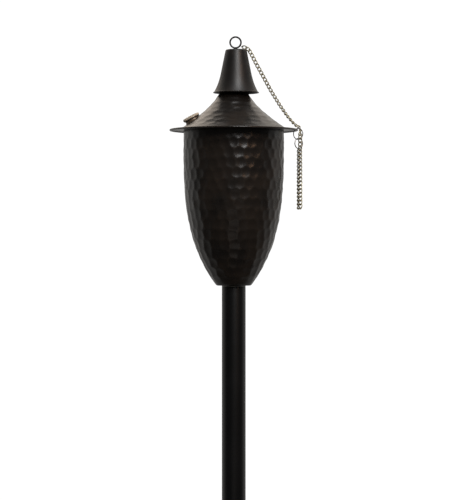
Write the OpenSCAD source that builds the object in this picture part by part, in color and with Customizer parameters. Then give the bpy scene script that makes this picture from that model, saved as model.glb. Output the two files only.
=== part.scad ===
// Garden torch: a hammered metal oil reservoir on a three-piece pole with a ground stake.
// Origin: on the pole's axis at the ground line. +Z is up, +X is towards the snuffer chain.

/* [Pole] */
// Outside diameter of the pole tube
pole_d = 25.4; // [24:0.1:28]
// Wall thickness of the pole tube
pole_wall = 1; // [0.8:0.1:1.2]
// Length of each of the three pole sections
section_len = 343.7; // [250:0.1:400]
// How far each joint reaches into the tube above it
engage = 55; // [40:1:60]

/* [Stake] */
// Diameter of the spike in the ground
spike_d = 12; // [10:0.5:14]
// Length of the spike's parallel part
spike_len = 175; // [120:1:220]
// Length of the spike's point
point_len = 25; // [15:1:40]
// Length of the bar that is trodden on
foot_bar_len = 120; // [90:1:150]

/* [Reservoir] */
// Radius of the bowl where it meets the brim
bowl_r = 53.4; // [52.5:0.1:54]
// Height of the bowl
bowl_h = 165.7; // [150:0.1:180]
// How much the bowl's radius shrinks towards its foot
bowl_taper = 35; // [30:0.5:37]
// Thickness of the sheet that the bowl is spun from
sheet_t = 0.9; // [0.8:0.05:1]
// Outside radius of the brim
brim_r = 68.5; // [68.5:0.1:70]
// Height of the cone above the brim
cone_h = 42; // [41:0.1:43]

/* [Snuffer] */
// Height of the snuffer's mouth above the brim
snuffer_mouth_z = 39.4; // [39:0.1:40]
// Height of the snuffer's flat top above the brim
snuffer_top_z = 85.7; // [85.7:0.1:86]
// How far the snuffer sits off the torch's axis
snuffer_x = 2.5; // [2.3:0.05:2.6]

/* [Filler] */
// Diameter of the filler cap's knurled rim
cap_d = 18.8; // [18:0.1:19.5]
// Tilt of the filler neck from upright
cap_tilt = 28; // [26:0.5:30]
// Number of grooves in the filler cap's rim
cap_grooves = 32; // [24:1:36]

/* [Chain] */
// Wire diameter of a chain link
link_wire = 0.85; // [0.75:0.05:0.85]
// Outside width of a chain link
link_width = 3.7; // [3.6:0.05:3.8]
// Distance from one link to the next
link_pitch = 4.13; // [4.11:0.01:4.15]

/* [Hidden] */
$fn = 96;

pole_r = pole_d / 2;
bore_r = pole_r - pole_wall;
slide_gap = 0.08;          // radial clearance of a joint that pulls apart
turn_gap = 0.06;           // radial clearance of a screwed joint
washer_t = 1.2;
stud_r = 4.95;
stud_reach = 21;           // how deep the head's stud goes into the pole
plug_len = 26;

shoulder_r = 11;           // flange of the spike that rests on the ground
shoulder_t = 4;
stem_r = 8;                // the spike's stem, inside the spigot
bar_t = 5;
bar_w = 18;
pole_foot_z = 26;          // foot of the lowest pole section
spigot_top_z = pole_foot_z + engage;
nut_t = 7;

pole_top_z = pole_foot_z + 3 * section_len;
bowl_foot_z = pole_top_z + washer_t;
rim_z = bowl_foot_z + bowl_h;      // height of the brim's underside

brim_t = 0.6;
bead_r = 0.95;
bead_z = -0.15;
cone_top_r = 15;
cone_spread = 36.9;
cone_ref_h = 37.7;
neck_hole_r = 10;

collar_r = 14.4;
collar_top_z = 52.3;
wick_r = 6.3;
wick_top_z = 66;
wick_foot_z = -150;
holder_r = 8;
holder_top_z = 58;
holder_foot_z = 20;

cap_x = -45.4;             // middle of the filler cap's rim
cap_z = 13.6;
cap_half_t = 1.4;
neck_r = 7.8;
neck_bore_r = 6.1;
neck_top = -2.2;           // along the filler's own axis, from the rim's middle
neck_foot = -9;
cap_plug_len = 6;

snuffer_t = 0.8;
snuffer_corner = 2;
ring_x = 1.9;              // upright ring on the snuffer
ring_z = 93.2;
ring_r = 5.9;
ring_wire = 1.6;
nut_foot_z = 82.2;

jump_r = 2.4;              // small ring between the upright ring and the chain
jump_wire = 0.6;
jump_angle = 30;           // where it hangs on the upright ring, below level

loop_wire = 1;             // the two plain rings at the brim
brim_ring_r = 5.9;
brim_ring_at = [68.6, 0, -4.1];
brim_ring_turn = -35;
end_ring_r = 5.5;
end_ring_at = [69.2, 0, -14.3];
end_ring_turn = 40;
brim_hole_r = 1.15;
brim_hole_reach = 3.92;    // from the ring's middle, along its own plane

link_bend = (link_width - link_wire) / 2;
link_inner = link_pitch + 0.1;
link_straight = link_inner - 2 * (link_bend - link_wire / 2);

// The chain's route from the snuffer's ring over the brim, through the brim ring and down,
// above the brim's underside. The points are chosen by hand.
lead_route = [
    [9.5, 0, 88.5], [12, 0, 88], [15.5, 0, 86.5], [16.5, 0, 85], [20.5, 0, 77.5],
    [24, 0, 70.5], [32.5, 0, 55], [39.5, 0.5, 42], [49, 0.5, 26.5], [57, 1, 15],
    [63, 1.5, 8], [67.5, 2.5, 4], [71, 4, 2.5], [71, 2.5, -1], [71, -0.5, -3.5],
    [70.5, -2.5, -5], [71, -5, -8.5], [70.5, -5, -13], [71, -4.5, -90]
];
lead_links = 28;           // links before the brim ring
run_links = 20;            // links from the brim ring down to the fold
fold_gap = 5.15;           // between the two hanging runs
back_links = 15;           // links from the fold up to the end ring
back_dir = [-2.2, 4.65, 0] / norm([2.2, 4.65]);
fold_turn = 25.3;          // turn of the links at the fold, square to back_dir
back_top = [end_ring_at[0], end_ring_at[1], end_ring_at[2] - end_ring_r];
back_turn = -35;           // turn of the returning run's top link, across the end ring

// Radius of the bowl at a depth d below the brim.
function bowl_outer(d) = bowl_r - bowl_taper * pow(d / bowl_h, 3.5);
// Radius of the cone at a depth u below its top.
function cone_outer(u) = cone_top_r + cone_spread * pow(u / cone_ref_h, 1.5);
// Radius of the snuffer at a height z above the brim.
function snuffer_outer(z) = 11.3 + 0.203 * (85 - z) + 3.6 * pow(max(0, 61 - z) / 21.6, 2.4);

// Running length of a route at each of its points.
function sums(p) = [for (i = 0, s = 0; i < len(p);
    s = s + (i + 1 < len(p) ? norm(p[i + 1] - p[i]) : 0), i = i + 1) s];
// Point of a route at the running length s.
function along(p, total, s) =
    let (k = max([for (i = [0 : len(p) - 2]) total[i] <= s ? i : 0]),
         f = (s - total[k]) / (total[k + 1] - total[k]))
    p[k] + f * (p[k + 1] - p[k]);
function unit(v) = v / norm(v);

lead_sums = sums(lead_route);
function lead_joint(i) = along(lead_route, lead_sums, i * link_pitch);
fold_a = (lead_joint(lead_links + run_links) + lead_joint(lead_links + run_links - 1)) / 2;

module at_rim() { translate([0, 0, rim_z]) children(); }
module at_filler() { at_rim() translate([cap_x, 0, cap_z]) rotate([0, -cap_tilt, 0]) children(); }

module tube(foot, top, outer, inner) {
    translate([0, 0, foot]) difference() {
        cylinder(r = outer, h = top - foot);
        translate([0, 0, -1]) cylinder(r = inner, h = top - foot + 2);
    }
}

module wire_ring(mid_r, wire) {
    rotate_extrude() translate([mid_r, 0]) circle(d = wire, $fn = 32);
}

// An oval link, long way along X, flat in the XY plane.
module oval_link() {
    for (end = [-1, 1]) {
        translate([end * link_straight / 2, 0, 0]) rotate([0, 0, -90 * end])
            rotate_extrude(angle = 180) translate([link_bend, 0]) circle(d = link_wire, $fn = 32);
        translate([-link_straight / 2, end * link_bend, 0]) rotate([0, 90, 0])
            cylinder(d = link_wire, h = link_straight, $fn = 32);
    }
}

// A link whose middle is at c, its length along t and its flat facing n.
module placed_link(c, t, n) {
    flat = unit(n - (n * t) * t);
    side = cross(flat, t);
    multmatrix([
        [t[0], side[0], flat[0], c[0]],
        [t[1], side[1], flat[1], c[1]],
        [t[2], side[2], flat[2], c[2]],
        [0, 0, 0, 1]
    ]) oval_link();
}

// Links number first to last along the lead's route; every other one is turned a quarter.
// Past the brim ring the chain also twists evenly, to lie square to the fold at its foot.
module route_links(first, last) {
    for (i = [first : last]) {
        a = lead_joint(i);
        b = lead_joint(i + 1);
        t = unit(b - a);
        twist = fold_turn * max(0, i - lead_links) / (run_links - 1);
        face = [-sin(twist), cos(twist), 0];
        placed_link((a + b) / 2, t, i % 2 == 0 ? face : cross(t, face));
    }
}

// ---- Stake ----

module ground_spike() {
    color([0.10, 0.10, 0.11]) rotate_extrude() polygon([
        [0, -spike_len - point_len], [0.8, -spike_len - point_len], [spike_d / 2, -spike_len],
        [spike_d / 2, 0], [shoulder_r, 0], [shoulder_r, shoulder_t], [stem_r, shoulder_t],
        [stem_r, spigot_top_z - 1], [stem_r - 3, spigot_top_z - 1],
        [stem_r - 3, spigot_top_z + nut_t + 2], [0, spigot_top_z + nut_t + 2]
    ]);
}

module foot_bar() {
    half = foot_bar_len / 2 - bar_w / 2;
    color([0.10, 0.10, 0.11]) translate([0, 0, shoulder_t]) difference() {
        union() {
            translate([-half, -bar_w / 2, 0]) cube([2 * half, bar_w, bar_t]);
            for (end = [-half, half]) translate([end, 0, 0]) cylinder(d = bar_w, h = bar_t);
            cylinder(r = 13, h = bar_t);
        }
        translate([0, 0, -1]) cylinder(r = stem_r, h = bar_t + 2);
    }
}

module stake_collar() {
    foot = shoulder_t + bar_t;
    color([0.10, 0.10, 0.11]) rotate_extrude() polygon([
        [stem_r, foot], [pole_r - 1.5, foot], [pole_r, foot + 1.5], [pole_r, foot + 7],
        [pole_r - 0.8, foot + 8], [pole_r, foot + 9], [pole_r, pole_foot_z],
        [stem_r, pole_foot_z]
    ]);
}

module stake_spigot() {
    color([0.35, 0.35, 0.36]) rotate_extrude() polygon([
        [stem_r, pole_foot_z], [bore_r - slide_gap, pole_foot_z],
        [bore_r - slide_gap, spigot_top_z - 2], [bore_r - 1.5, spigot_top_z],
        [stem_r - 3, spigot_top_z], [stem_r - 3, spigot_top_z - 1], [stem_r, spigot_top_z - 1]
    ]);
}

module stake_nut() {
    color([0.6, 0.6, 0.58]) translate([0, 0, spigot_top_z]) difference() {
        cylinder(r = 9.2, h = nut_t, $fn = 6);
        translate([0, 0, -1]) cylinder(r = stem_r - 3, h = nut_t + 2);
    }
}

// ---- Pole ----

module pole_tube(index) {
    foot = pole_foot_z + index * section_len;
    color([0.06, 0.06, 0.06]) tube(foot, foot + section_len, pole_r, bore_r);
}

module joint_sleeve(index) {
    mid = pole_foot_z + index * section_len;
    color([0.35, 0.35, 0.36]) rotate_extrude() polygon([
        [bore_r - 1.2, mid - engage], [bore_r, mid - engage], [bore_r, mid],
        [bore_r - slide_gap, mid], [bore_r - slide_gap, mid + engage - 2],
        [bore_r - 0.6, mid + engage], [bore_r - 1.2, mid + engage]
    ]);
}

module pole_lower() { pole_tube(0); }
module lower_joint_sleeve() { joint_sleeve(1); }
module pole_middle() { pole_tube(1); }
module upper_joint_sleeve() { joint_sleeve(2); }
module pole_upper() { pole_tube(2); }

module pole_top_plug() {
    color([0.35, 0.35, 0.36])
        tube(pole_top_z - plug_len, pole_top_z, bore_r, stud_r + turn_gap);
}

// ---- Head: reservoir ----

module head_washer() {
    color([0.62, 0.62, 0.6]) tube(pole_top_z, bowl_foot_z, pole_r, stud_r + 0.3);
}

module head_stud() {
    color([0.6, 0.6, 0.58]) rotate_extrude() polygon([
        [0, pole_top_z - stud_reach], [stud_r - 1, pole_top_z - stud_reach],
        [stud_r, pole_top_z - stud_reach + 1], [stud_r, bowl_foot_z + 9],
        [0, bowl_foot_z + 9]
    ]);
}

module bowl_socket() {
    color([0.6, 0.6, 0.58]) translate([0, 0, bowl_foot_z + sheet_t]) difference() {
        cylinder(r = 10, h = 8, $fn = 6);
        translate([0, 0, -1]) cylinder(r = stud_r, h = 10);
    }
}

module reservoir_bowl() {
    steps = 26;
    outer = [for (i = [0 : steps]) let (d = (bowl_h - 1.2) * i / steps) [bowl_outer(d), -d]];
    foot_r = bowl_outer(bowl_h) - 1.2;
    inner = [for (i = [steps : -1 : 0]) let (d = (bowl_h - sheet_t) * i / steps)
        [bowl_outer(d) - sheet_t, -d]];
    color([0.12, 0.10, 0.09]) at_rim() rotate_extrude() polygon(concat(
        outer, [[foot_r, -bowl_h], [stud_r, -bowl_h], [stud_r, -bowl_h + sheet_t]], inner
    ));
}

module reservoir_top() {
    steps = 20;
    u_end = cone_h - 2;
    lap_r = bowl_r - 0.4;
    u_lap = cone_ref_h * pow((lap_r - cone_top_r) / cone_spread, 2 / 3);
    outer = [for (i = [0 : steps]) let (u = u_end * i / steps) [cone_outer(u), cone_h - u]];
    inner = [for (i = [steps : -1 : 0]) let (u = u_lap * i / steps)
        [cone_outer(u), cone_h - u - 1]];
    color([0.12, 0.10, 0.09]) difference() {
        at_rim() {
            rotate_extrude() polygon(concat(
                [[neck_hole_r, cone_h]], outer,
                [[57, 1.05], [59, 0.7], [62, brim_t], [brim_r - bead_r, brim_t],
                 [brim_r - bead_r, 0], [lap_r, 0]],
                inner, [[neck_hole_r, cone_h - 1]]
            ));
            translate([0, 0, bead_z]) wire_ring(brim_r - bead_r, 2 * bead_r);
        }
        at_filler() translate([0, 0, -16]) cylinder(r = neck_r, h = 18);
        at_rim() translate(brim_ring_at) rotate([0, 0, brim_ring_turn])
            translate([-brim_hole_reach, 0, 0]) cylinder(r = brim_hole_r, h = 8);
    }
}

// ---- Head: burner and wick ----

module burner_bushing() {
    color([0.5, 0.45, 0.33]) at_rim() rotate_extrude() polygon([
        [9, cone_h - 6], [neck_hole_r, cone_h - 6], [neck_hole_r, cone_h],
        [collar_r, cone_h], [collar_r, collar_top_z - 0.6], [collar_r - 0.6, collar_top_z],
        [9, collar_top_z]
    ]);
}

module burner_gasket() {
    color([0.75, 0.72, 0.66]) at_rim() tube(collar_top_z, collar_top_z + 0.8, 13.6, 9);
}

module wick_holder() {
    flange_z = collar_top_z + 0.8;
    color([0.66, 0.58, 0.36]) at_rim() rotate_extrude() polygon([
        [wick_r + 0.3, holder_foot_z], [holder_r, holder_foot_z], [holder_r, flange_z],
        [13.8, flange_z], [13.8, flange_z + 1.2], [holder_r + 1.2, flange_z + 1.8],
        [holder_r, holder_top_z - 0.8], [holder_r - 0.4, holder_top_z],
        [wick_r + 0.3, holder_top_z]
    ]);
}

module wick() {
    color([0.93, 0.91, 0.85]) at_rim() rotate_extrude() polygon([
        [0, wick_foot_z], [wick_r, wick_foot_z], [wick_r, wick_top_z - 1],
        [wick_r - 1, wick_top_z], [0, wick_top_z]
    ]);
}

// ---- Head: filler ----

module filler_neck() {
    color([0.5, 0.45, 0.36]) at_filler() tube(neck_foot, neck_top, neck_r, neck_bore_r);
}

module filler_gasket() {
    color([0.08, 0.07, 0.06]) at_filler() tube(neck_top, -cap_half_t, 8.6, neck_bore_r);
}

module filler_cap() {
    color([0.72, 0.67, 0.58]) at_filler() difference() {
        rotate_extrude() polygon([
            [0, -cap_half_t - cap_plug_len], [neck_bore_r - 1, -cap_half_t - cap_plug_len],
            [neck_bore_r - turn_gap, -cap_half_t - cap_plug_len + 1],
            [neck_bore_r - turn_gap, -cap_half_t], [cap_d / 2 - 0.3, -cap_half_t],
            [cap_d / 2, -cap_half_t + 0.3], [cap_d / 2, cap_half_t - 0.4],
            [cap_d / 2 - 0.5, cap_half_t], [0, cap_half_t]
        ]);
        for (i = [0 : cap_grooves - 1]) rotate([0, 0, 360 * i / cap_grooves])
            translate([cap_d / 2 + 0.15, 0, -cap_half_t - 0.2])
                cylinder(r = 0.5, h = 2 * cap_half_t + 1, $fn = 24);
    }
}

// ---- Snuffer ----

module snuffer_cap() {
    steps = 22;
    lip_h = 1.1;
    shoulder_z = snuffer_top_z - snuffer_corner;
    rise = shoulder_z - snuffer_mouth_z - lip_h;
    outer = [for (i = [0 : steps]) let (z = snuffer_mouth_z + lip_h + rise * i / steps)
        [snuffer_outer(z), z]];
    corner_r = snuffer_outer(shoulder_z) - snuffer_corner;
    corner = [for (a = [15 : 15 : 90])
        [corner_r + snuffer_corner * cos(a), shoulder_z + snuffer_corner * sin(a)]];
    inner_top = shoulder_z + snuffer_corner - 1;
    inner = [for (i = [steps : -1 : 0])
        let (z = snuffer_mouth_z + (shoulder_z - snuffer_mouth_z) * i / steps)
        [snuffer_outer(z) - snuffer_t, z]];
    lip_r = snuffer_outer(snuffer_mouth_z) + 0.25;
    color([0.12, 0.11, 0.10]) at_rim() difference() {
        translate([snuffer_x, 0, 0]) rotate_extrude() polygon(concat(
            [[lip_r, snuffer_mouth_z], [lip_r, snuffer_mouth_z + lip_h - 0.2]], outer, corner,
            [[0, snuffer_top_z], [0, inner_top], [corner_r, inner_top]], inner
        ));
        translate([ring_x, 0, inner_top - 1]) cylinder(r = 1.5, h = 4, $fn = 32);
    }
}

module snuffer_ring() {
    color([0.08, 0.08, 0.08]) at_rim() translate([ring_x, 0, ring_z]) rotate([90, 0, 0])
        wire_ring(ring_r, ring_wire);
}

module snuffer_stud() {
    saddle_z = ring_z - ring_r;
    color([0.10, 0.10, 0.10]) difference() {
        at_rim() translate([ring_x, 0, 0]) rotate_extrude($fn = 48) polygon([
            [0, nut_foot_z - 0.6], [1.5, nut_foot_z - 0.6], [1.5, snuffer_top_z],
            [2.3, snuffer_top_z], [2.3, saddle_z - 0.4], [1.9, saddle_z], [0, saddle_z]
        ]);
        snuffer_ring();
    }
}

module snuffer_nut() {
    color([0.6, 0.6, 0.58]) at_rim() translate([ring_x, 0, nut_foot_z]) difference() {
        cylinder(r = 3.4, h = snuffer_top_z - 1 - nut_foot_z, $fn = 6);
        translate([0, 0, -1]) cylinder(r = 1.5, h = 6, $fn = 32);
    }
}

// ---- Chain ----

module chain_top_ring() {
    out = [cos(jump_angle), 0, -sin(jump_angle)];
    reach = ring_r + jump_r - jump_wire / 2 - ring_wire / 2 - 0.1;
    color([0.62, 0.6, 0.56]) at_rim() translate([ring_x, 0, ring_z] + reach * out)
        rotate([0, jump_angle, 0]) wire_ring(jump_r, jump_wire);
}

module chain_lead() {
    color([0.55, 0.5, 0.4]) at_rim() route_links(0, lead_links - 1);
}

module brim_ring() {
    color([0.62, 0.6, 0.58]) at_rim() translate(brim_ring_at)
        rotate([0, 0, brim_ring_turn]) rotate([90, 0, 0]) wire_ring(brim_ring_r, loop_wire);
}

module chain_end_ring() {
    color([0.62, 0.6, 0.58]) at_rim() translate(end_ring_at)
        rotate([0, 0, end_ring_turn]) rotate([90, 0, 0]) wire_ring(end_ring_r, loop_wire);
}

module chain_drop() {
    fold_drop = (link_inner - link_wire) / 2 - 0.1;
    back_foot = fold_a + fold_gap * back_dir;
    top_c = back_top + [0, 0, -link_inner / 2 + loop_wire / 2 + 0.1];
    color([0.55, 0.5, 0.4]) at_rim() {
        route_links(lead_links, lead_links + run_links - 1);
        placed_link(fold_a + fold_gap / 2 * back_dir - [0, 0, fold_drop], back_dir, [0, 0, 1]);
        for (i = [0 : back_links]) {
            f = i / back_links;
            t = unit(top_c - back_foot);
            turn = fold_turn + (back_turn - fold_turn) * f + (i % 2 == 0 ? 0 : 90);
            placed_link(back_foot + f * (top_c - back_foot), t, [cos(turn), sin(turn), 0]);
        }
    }
}

ground_spike();
foot_bar();
stake_collar();
stake_spigot();
stake_nut();
pole_lower();
lower_joint_sleeve();
pole_middle();
upper_joint_sleeve();
pole_upper();
pole_top_plug();
head_washer();
head_stud();
bowl_socket();
reservoir_bowl();
reservoir_top();
burner_bushing();
burner_gasket();
wick_holder();
wick();
filler_neck();
filler_gasket();
filler_cap();
snuffer_cap();
snuffer_ring();
snuffer_stud();
snuffer_nut();
chain_top_ring();
chain_lead();
brim_ring();
chain_end_ring();
chain_drop();
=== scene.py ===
"""Garden torch: finished surfaces, materials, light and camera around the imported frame.

Every length is in metres. Each sub-assembly is a class that holds its sizes and builds its pieces, and
each finish is a frozen dataclass that builds one material.
"""

import logging
import math
from dataclasses import dataclass
from enum import Enum
from typing import Any

import bpy
import numpy as np
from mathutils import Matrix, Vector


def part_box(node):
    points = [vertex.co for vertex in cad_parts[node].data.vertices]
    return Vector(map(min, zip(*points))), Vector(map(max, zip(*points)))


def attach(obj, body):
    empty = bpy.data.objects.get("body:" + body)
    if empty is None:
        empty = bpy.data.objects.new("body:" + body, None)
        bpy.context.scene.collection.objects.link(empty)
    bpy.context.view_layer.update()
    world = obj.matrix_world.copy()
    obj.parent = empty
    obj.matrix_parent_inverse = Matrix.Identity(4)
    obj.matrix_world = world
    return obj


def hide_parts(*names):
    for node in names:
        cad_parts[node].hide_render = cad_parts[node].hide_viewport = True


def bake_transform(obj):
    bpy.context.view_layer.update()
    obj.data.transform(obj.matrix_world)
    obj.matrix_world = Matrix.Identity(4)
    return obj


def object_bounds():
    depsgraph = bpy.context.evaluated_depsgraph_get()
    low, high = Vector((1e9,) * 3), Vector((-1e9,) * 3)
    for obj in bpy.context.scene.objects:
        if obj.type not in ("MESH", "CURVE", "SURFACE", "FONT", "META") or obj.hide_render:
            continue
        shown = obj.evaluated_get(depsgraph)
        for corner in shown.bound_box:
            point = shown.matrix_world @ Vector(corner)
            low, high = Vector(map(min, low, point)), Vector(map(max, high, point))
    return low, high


MM = 0.001
TAU = 2 * math.pi
THREAD_PITCH = 1.5 * MM
log = logging.getLogger("torch")
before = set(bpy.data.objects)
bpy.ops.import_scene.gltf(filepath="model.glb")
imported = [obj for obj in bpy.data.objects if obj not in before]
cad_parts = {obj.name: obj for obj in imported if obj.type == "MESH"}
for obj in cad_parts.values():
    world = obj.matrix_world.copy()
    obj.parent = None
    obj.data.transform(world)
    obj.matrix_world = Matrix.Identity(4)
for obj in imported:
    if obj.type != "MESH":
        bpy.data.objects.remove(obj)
CAD_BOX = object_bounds()


# ---- Shader arithmetic ----

class Output(Enum):
    """Which output node a shader goes to."""

    MATERIAL = "ShaderNodeOutputMaterial"
    WORLD = "ShaderNodeOutputWorld"


class Wire:
    """One number, colour or vector that runs between shader nodes, with arithmetic on numbers."""

    def __init__(self, tree: "Tree", socket: bpy.types.NodeSocket) -> None:
        """Holds a node's output.

        Args:
            tree: the tree that the node is in.
            socket: the output.
        """
        self.tree = tree
        self.socket = socket

    def _math(self, operation: str, first: Any, second: Any) -> "Wire":
        """Adds one Math node and returns its result."""
        return self.tree.add("ShaderNodeMath", 0, {"operation": operation}, {0: first, 1: second})

    def __add__(self, other: Any) -> "Wire":
        """This plus other."""
        return self._math("ADD", self, other)

    def __sub__(self, other: Any) -> "Wire":
        """This minus other."""
        return self._math("SUBTRACT", self, other)

    def __rsub__(self, other: Any) -> "Wire":
        """Other minus this."""
        return self._math("SUBTRACT", other, self)

    def __mul__(self, other: Any) -> "Wire":
        """This times other."""
        return self._math("MULTIPLY", self, other)

    __radd__ = __add__
    __rmul__ = __mul__

    def clamped(self) -> "Wire":
        """This held between 0 and 1."""
        return self.tree.add("ShaderNodeClamp", 0, {}, {"Value": self})

    def step(self, low: float, high: float) -> "Wire":
        """A smooth step from 0 at low to 1 at high."""
        settings = {"interpolation_type": "SMOOTHSTEP"}
        return self.tree.add("ShaderNodeMapRange", 0, settings,
                             {"Value": self, "From Min": low, "From Max": high})


class Tree:
    """The nodes of one material, or of the surround."""

    def __init__(self, owner: bpy.types.Material | bpy.types.World) -> None:
        """Empties the owner's tree.

        Args:
            owner: the material or world to build in.
        """
        owner.use_nodes = True
        self.nodes = owner.node_tree.nodes
        self.links = owner.node_tree.links
        self.nodes.clear()

    def add(self, kind: str, output: int | str, settings: dict[str, Any], sockets: dict) -> Wire:
        """Adds a node.

        Args:
            kind: the node's type.
            output: which of its outputs is returned.
            settings: the node's own properties, set first.
            sockets: a value or a wire for each input that is named or numbered.

        Returns:
            The chosen output.
        """
        node = self.nodes.new(kind)
        for name, value in settings.items():
            setattr(node, name, value)
        for name, value in sockets.items():
            if isinstance(value, Wire):
                self.links.new(value.socket, node.inputs[name])
            else:
                node.inputs[name].default_value = value
        return Wire(self, node.outputs[output])

    def place(self, stretch: tuple[float, float, float] = (1, 1, 1)) -> Wire:
        """The point on the object, in metres, stretched along each axis."""
        here = self.add("ShaderNodeTexCoord", "Object", {}, {})
        return self.add("ShaderNodeMapping", 0, {}, {"Vector": here, "Scale": stretch})

    def noise(self, size: float, detail: float = 3, stretch: tuple[float, float, float] = (1, 1, 1),
              twist: float = 0) -> Wire:
        """Cloudy noise from 0 to 1.

        Args:
            size: width of one cloud, in metres.
            detail: how many finer layers it has.
            stretch: how much the point is stretched along each axis first.
            twist: how far the clouds are warped.

        Returns:
            The noise.
        """
        return self.add("ShaderNodeTexNoise", 0, {"noise_dimensions": "3D"},
                        {"Vector": self.place(stretch), "Scale": 1 / size, "Detail": detail,
                         "Distortion": twist})

    def cells(self, size: float) -> Wire:
        """Distance to the nearest of many scattered points, 0 at a point."""
        return self.add("ShaderNodeTexVoronoi", "Distance", {},
                        {"Vector": self.place(), "Scale": 1 / size})

    def relief(self) -> Wire:
        """The piece's own relief: 0 in its hollows and 1 on its crests."""
        return self.add("ShaderNodeAttribute", "Fac", {"attribute_name": "relief"}, {})

    def blend(self, share: Wire, first: Any, second: Any) -> Wire:
        """A colour that goes from first to second as share goes from 0 to 1."""
        return self.add("ShaderNodeMix", 2, {"data_type": "RGBA"}, {0: share, 6: first, 7: second})

    def bump(self, height: Wire, depth: float, below: Wire | None = None) -> Wire:
        """Bends the normal.

        Args:
            height: the height, from 0 to 1.
            depth: how many metres 1 stands for.
            below: a bent normal that this one adds to.

        Returns:
            The bent normal.
        """
        sockets: dict = {"Height": height, "Distance": depth, "Strength": 1.0}
        if below is not None:
            sockets["Normal"] = below
        return self.add("ShaderNodeBump", 0, {}, sockets)

    def finish(self, sockets: dict) -> None:
        """Adds the Principled shader with these inputs and the output."""
        shader = self.add("ShaderNodeBsdfPrincipled", 0, {}, sockets)
        self.add_output(shader)

    def add_output(self, shader: Wire, output: Output = Output.MATERIAL) -> None:
        """Joins a shader to a new output node."""
        node = self.nodes.new(output.value)
        self.links.new(shader.socket, node.inputs["Surface"])


def rgba(colour: tuple[float, float, float]) -> tuple[float, float, float, float]:
    """A colour with full alpha."""
    return (*colour, 1.0)


# ---- Finishes ----

@dataclass(frozen=True)
class Finish:
    """A finish and the record's slot that it belongs to."""

    name: str
    slot: str

    def material(self) -> bpy.types.Material:
        """Finds the finish's material, and builds it the first time.

        Returns:
            The material.
        """
        found = bpy.data.materials.get(self.name)
        if found is None:
            found = bpy.data.materials.new(self.name)
            self.paint(Tree(found))
        return found

    def paint(self, tree: Tree) -> None:
        """Builds the material's nodes.

        Args:
            tree: the material's empty tree.
        """
        raise NotImplementedError


@dataclass(frozen=True)
class Lacquer(Finish):
    """Lacquer or powder coat on metal: clouded colour, worn crests, and a fine grain.

    The colour goes from deep to warm with large clouds, towards worn on the crests where a second
    cloud allows it. Roughness follows a cloud, and the bump is fine grain over slow waves.
    """

    deep: tuple[float, float, float] = (0.0135, 0.0112, 0.0098)
    warm: tuple[float, float, float] = (0.0245, 0.0182, 0.0138)
    worn: tuple[float, float, float] = (0.07, 0.05, 0.034)
    wear: float = 0.5
    metallic: float = 0.0
    roughness: float = 0.35
    spread: float = 0.1
    cloud: float = 30 * MM
    grain: float = 0.5 * MM
    grain_depth: float = 0.004 * MM
    specular: float = 0.5

    def paint(self, tree: Tree) -> None:
        """Builds the lacquer's nodes.

        Args:
            tree: the material's empty tree.
        """
        clouds = tree.noise(self.cloud, 4, twist=0.6)
        fine = tree.noise(self.grain, 2)
        rub = (tree.relief().step(0.55, 1.0) * tree.noise(7 * MM, 2).step(0.42, 0.7)) * self.wear
        ground = tree.blend(clouds.step(0.35, 0.7), rgba(self.deep), rgba(self.warm))
        colour = tree.blend(rub.clamped(), ground, rgba(self.worn))
        gloss = self.roughness + (clouds - 0.5) * self.spread + (fine - 0.5) * (0.3 * self.spread)
        waves = tree.bump(tree.noise(6 * MM, 2), 0.03 * MM)
        tree.finish({
            "Base Color": colour,
            "Metallic": self.metallic,
            "Roughness": gloss,
            "Specular IOR Level": self.specular,
            "Normal": tree.bump(fine, self.grain_depth, waves),
        })


@dataclass(frozen=True)
class Plate(Finish):
    """Bare or plated metal: painted shade in the hollows, dark spots, and drawn streaks.

    The colour goes from hollow to bright with the relief, so the hollows hold painted shade,
    dulled by clouds. Small dark spots stand where scattered cells meet a cloud. The streaks run
    along one axis.
    """

    bright: tuple[float, float, float] = (0.6, 0.58, 0.54)
    # hollow: the painted shade that the relief puts in the hollows, and also the dark spots' colour.
    hollow: tuple[float, float, float] = (0.12, 0.10, 0.08)
    stain: tuple[float, float, float] = (0.25, 0.21, 0.14)
    roughness: float = 0.3
    streak: tuple[float, float, float] = (1, 1, 1)
    cloud: float = 5 * MM
    metallic: float = 1.0

    def paint(self, tree: Tree) -> None:
        """Builds the plated metal's nodes.

        Args:
            tree: the material's empty tree.
        """
        clouds = tree.noise(self.cloud, 5, twist=0.4)
        streaks = tree.noise(0.7 * MM, 3, stretch=self.streak)
        spots = (0.32 - tree.cells(2.2 * MM)).step(0.0, 0.2) * clouds.step(0.5, 0.7)
        # The relief pulls the colour towards hollow in the hollows: painted shade.
        depth = (tree.relief() + (clouds - 0.5) * 0.5).step(0.1, 0.8)
        plain = tree.blend(depth, rgba(self.hollow), rgba(self.bright))
        dulled = tree.blend(clouds.step(0.45, 0.75) * 0.6, plain, rgba(self.stain))
        colour = tree.blend(spots * 0.6, dulled, rgba(self.hollow))
        tree.finish({
            "Base Color": colour,
            "Metallic": self.metallic,
            "Roughness": self.roughness + (clouds - 0.4) * 0.25 + (streaks - 0.5) * 0.12,
            "Normal": tree.bump(streaks, 0.012 * MM),
        })


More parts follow.
